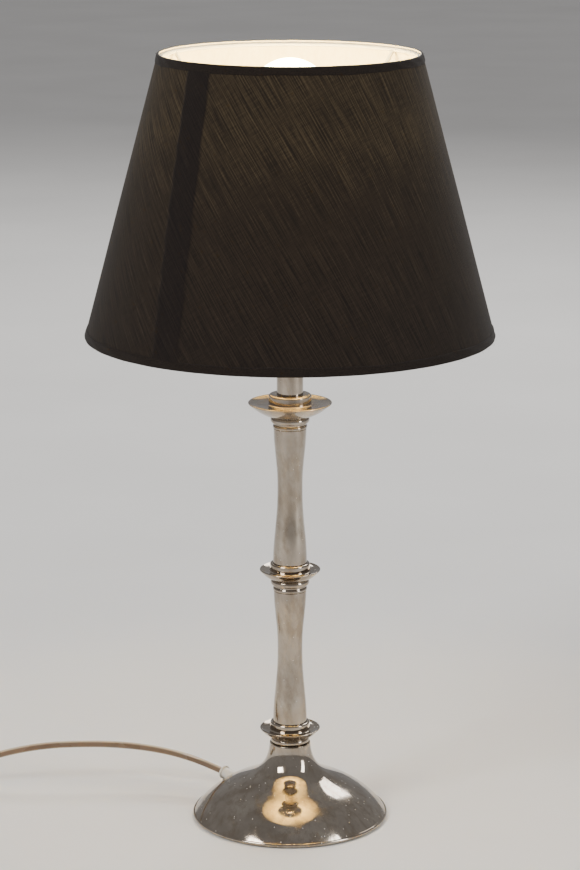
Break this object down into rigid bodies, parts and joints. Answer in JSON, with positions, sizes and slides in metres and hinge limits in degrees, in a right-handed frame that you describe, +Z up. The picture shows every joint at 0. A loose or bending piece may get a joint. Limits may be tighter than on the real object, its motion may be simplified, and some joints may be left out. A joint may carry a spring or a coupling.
{
  "type": "table lamp",
  "caption": "Table lamp with a bell base, a turned metal stem with saucers, a tapered fabric shade, a screw-in bulb and a flat mains lead with a plug.",
  "frame": {"origin": "centre of the base's underside, on the table", "axes": "+Z up along the stem, +X to the lamp's right seen from the front, +Y to the back; the lead leaves towards -X"},
  "size_m": [0.4729, 0.301, 0.5785],
  "materials": {
    "polished_nickel": "polished",
    "steel": "satin",
    "felt": "matte",
    "iron_weight": "rough",
    "clamp_plastic": "matte",
    "bushing": "gloss",
    "rod_brass": "satin",
    "contact_brass": "satin",
    "holder_black": "gloss",
    "insulator_white": "glazed",
    "switch_white": "gloss",
    "cord_pvc": "semi-clear gloss",
    "tie_black": "matte",
    "plug_pvc": "semi-gloss",
    "pin_nickel": "polished",
    "lining": "satin",
    "shade_fabric": "matte weave",
    "opal_glass": "opal",
    "cap_nickel": "satin",
    "bulb_black": "gloss",
    "clear_glass": "clear",
    "filament": "matte"
  },
  "bodies": {
    "stand": {"felt_pad": "felt", "base_plate": "steel", "plate_screws": "steel", "base_weight": "iron_weight", "cord_clamp": "clamp_plastic", "clamp_screws": "steel", "base_shell": "polished_nickel", "cord_bushing": "bushing", "base_washer": "steel", "base_nut": "steel", "threaded_rod": "rod_brass", "base_collar": "polished_nickel", "lower_disc": "polished_nickel", "lower_stem": "polished_nickel", "middle_collar": "polished_nickel", "middle_disc": "polished_nickel", "upper_stem": "polished_nickel", "top_collar": "polished_nickel", "top_dish": "polished_nickel", "neck_tube": "polished_nickel", "holder_cap": "holder_black", "holder_nut": "steel", "switch_block": "insulator_white", "switch_contacts": "contact_brass", "holder_insert": "insulator_white", "terminal_screws": "contact_brass", "centre_contact": "contact_brass", "screw_shell": "contact_brass", "holder_sleeve": "holder_black", "lower_ring_nut": "holder_black", "upper_ring_nut": "holder_black", "cord_inside": "cord_pvc", "cord_lead": "cord_pvc", "cord_coil": "cord_pvc", "cord_tail": "cord_pvc", "cord_tie": "tie_black", "plug_body": "plug_pvc", "plug_pins": "pin_nickel"},
    "switch": {"switch_bar": "switch_white"},
    "shade": {"shade_fitter": "steel", "shade_top_ring": "steel", "shade_foot_ring": "steel", "shade_lining": "lining", "shade_cover": "shade_fabric", "shade_top_trim": "shade_fabric", "shade_foot_trim": "shade_fabric"},
    "bulb_carrier": {"bulb_tip": "contact_brass", "bulb_insulator": "bulb_black"},
    "bulb": {"bulb_glass": "opal_glass", "bulb_cap": "cap_nickel", "bulb_mount": "clear_glass", "bulb_filament": "filament"}
  },
  "joints": [
    {"name": "shade_turn", "type": "hinge", "parent": "stand", "child": "shade", "pos_m": [0, 0, 0.476], "axis": [0, 0, 1], "continuous": true},
    {"name": "switch_push", "type": "slide", "parent": "stand", "child": "switch", "axis": [1, 0, 0], "range_m": [0, 0.005]},
    {"name": "bulb_rise", "type": "slide", "parent": "stand", "child": "bulb_carrier", "axis": [0, 0, 1], "range_m": [0, 0.0108]},
    {"name": "bulb_turn", "type": "hinge", "parent": "bulb_carrier", "child": "bulb", "pos_m": [0, 0, 0.47], "axis": [0, 0, 1], "range_deg": [0, 1081]}
  ],
  "couplings": [
    {"joint": "bulb_turn", "follows": "bulb_rise", "rad_per_m": 1745.3}
  ]
}
